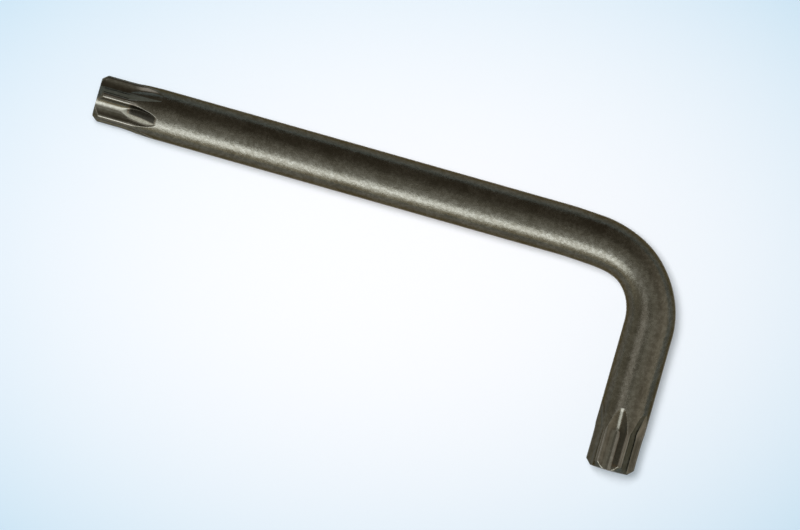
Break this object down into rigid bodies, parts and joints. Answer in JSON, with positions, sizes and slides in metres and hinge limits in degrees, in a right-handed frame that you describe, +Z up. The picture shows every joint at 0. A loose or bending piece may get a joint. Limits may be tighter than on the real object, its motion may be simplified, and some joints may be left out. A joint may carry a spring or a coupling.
{
  "type": "star-drive key",
  "caption": "L-shaped steel key bent from round rod, with a six-lobe star point pressed into the end of each arm, one long arm and one short arm.",
  "frame": {"origin": "middle of the footprint of the key as it lies flat, on the surface that it lies on", "axes": "+X along the long arm, from its end towards the bend; +Y from the short arm's end towards the long arm; +Z up, out of the plane of the L"},
  "size_m": [0.1094, 0.0434, 0.009],
  "materials": {
    "steel": "dark oxide-coated hardened steel, satin with a fine blasted grain, a little brighter on the points"
  },
  "bodies": {
    "root": {"star_key": "steel"}
  },
  "joints": []
}
